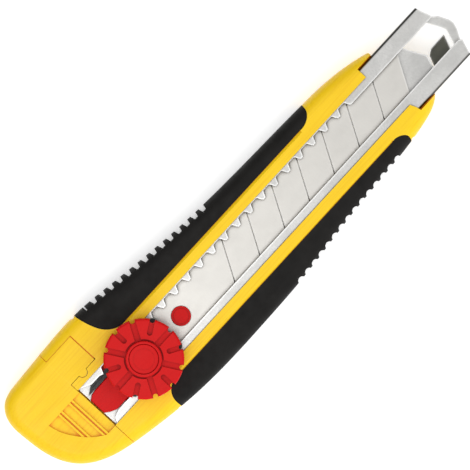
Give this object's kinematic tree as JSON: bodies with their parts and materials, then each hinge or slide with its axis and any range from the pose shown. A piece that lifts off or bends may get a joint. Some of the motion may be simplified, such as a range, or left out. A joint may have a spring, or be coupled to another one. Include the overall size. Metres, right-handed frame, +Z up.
{
  "type": "snap-off utility knife",
  "caption": "Snap-off blade utility knife with a steel blade channel, a screw-down lock wheel on a ratcheted slider, ribbed rubber grips and a pull-off tail cap.",
  "frame": {"origin": "on the flat back, under the middle line of the blade channel and halfway along the knife's length", "axes": "+X along the knife towards the blade tip, +Y across it towards the toothed side of the channel, +Z up from the back to the lock wheel"},
  "size_m": [0.1623, 0.0396, 0.0203],
  "materials": {
    "yellow_plastic": "satin moulded ABS",
    "black_rubber": "matt soft thermoplastic rubber",
    "red_plastic": "satin moulded acetal",
    "channel_steel": "rolled stainless sheet",
    "blade_steel": "ground carbon steel",
    "black_steel": "blackened spring steel",
    "plain_steel": "zinc-plated",
    "brass": "machined"
  },
  "bodies": {
    "body": {"housing": "yellow_plastic", "back_cover": "yellow_plastic", "shell_screws": "plain_steel", "upper_grip": "black_rubber", "lower_grip": "black_rubber", "blade_channel": "channel_steel"},
    "slider": {"slider": "red_plastic", "blade": "blade_steel", "clamp_plate": "plain_steel", "threaded_stud": "plain_steel", "retaining_ring": "black_steel", "pressure_plate": "black_steel", "disc_spring": "plain_steel", "detent_spring": "black_steel"},
    "wheel_washer": {"thrust_washer": "plain_steel"},
    "lock_wheel": {"lock_wheel": "red_plastic", "wheel_nut": "brass", "wheel_cap": "red_plastic"},
    "tail_cap": {"tail_cap": "yellow_plastic", "cap_latch": "yellow_plastic"}
  },
  "joints": [
    {"name": "slider_slide", "type": "slide", "parent": "body", "child": "slider", "axis": [1, 0, 0], "range_m": [0, 0.085], "deforming": ["detent_spring"]},
    {"name": "wheel_lift", "type": "slide", "parent": "slider", "child": "wheel_washer", "axis": [0, 0, 1], "range_m": [0, 0.00071]},
    {"name": "wheel_turn", "type": "hinge", "parent": "wheel_washer", "child": "lock_wheel", "pos_m": [-0.0431, -0.00025, 0.0134], "axis": [0, 0, 1], "range_deg": [0, 360]},
    {"name": "cap_pull", "type": "slide", "parent": "body", "child": "tail_cap", "axis": [-1, 0, 0], "range_m": [0, 0.03], "deforming": ["cap_latch"]}
  ],
  "couplings": [
    {"joint": "wheel_lift", "follows": "wheel_turn", "m_per_rad": 0.00011141}
  ]
}
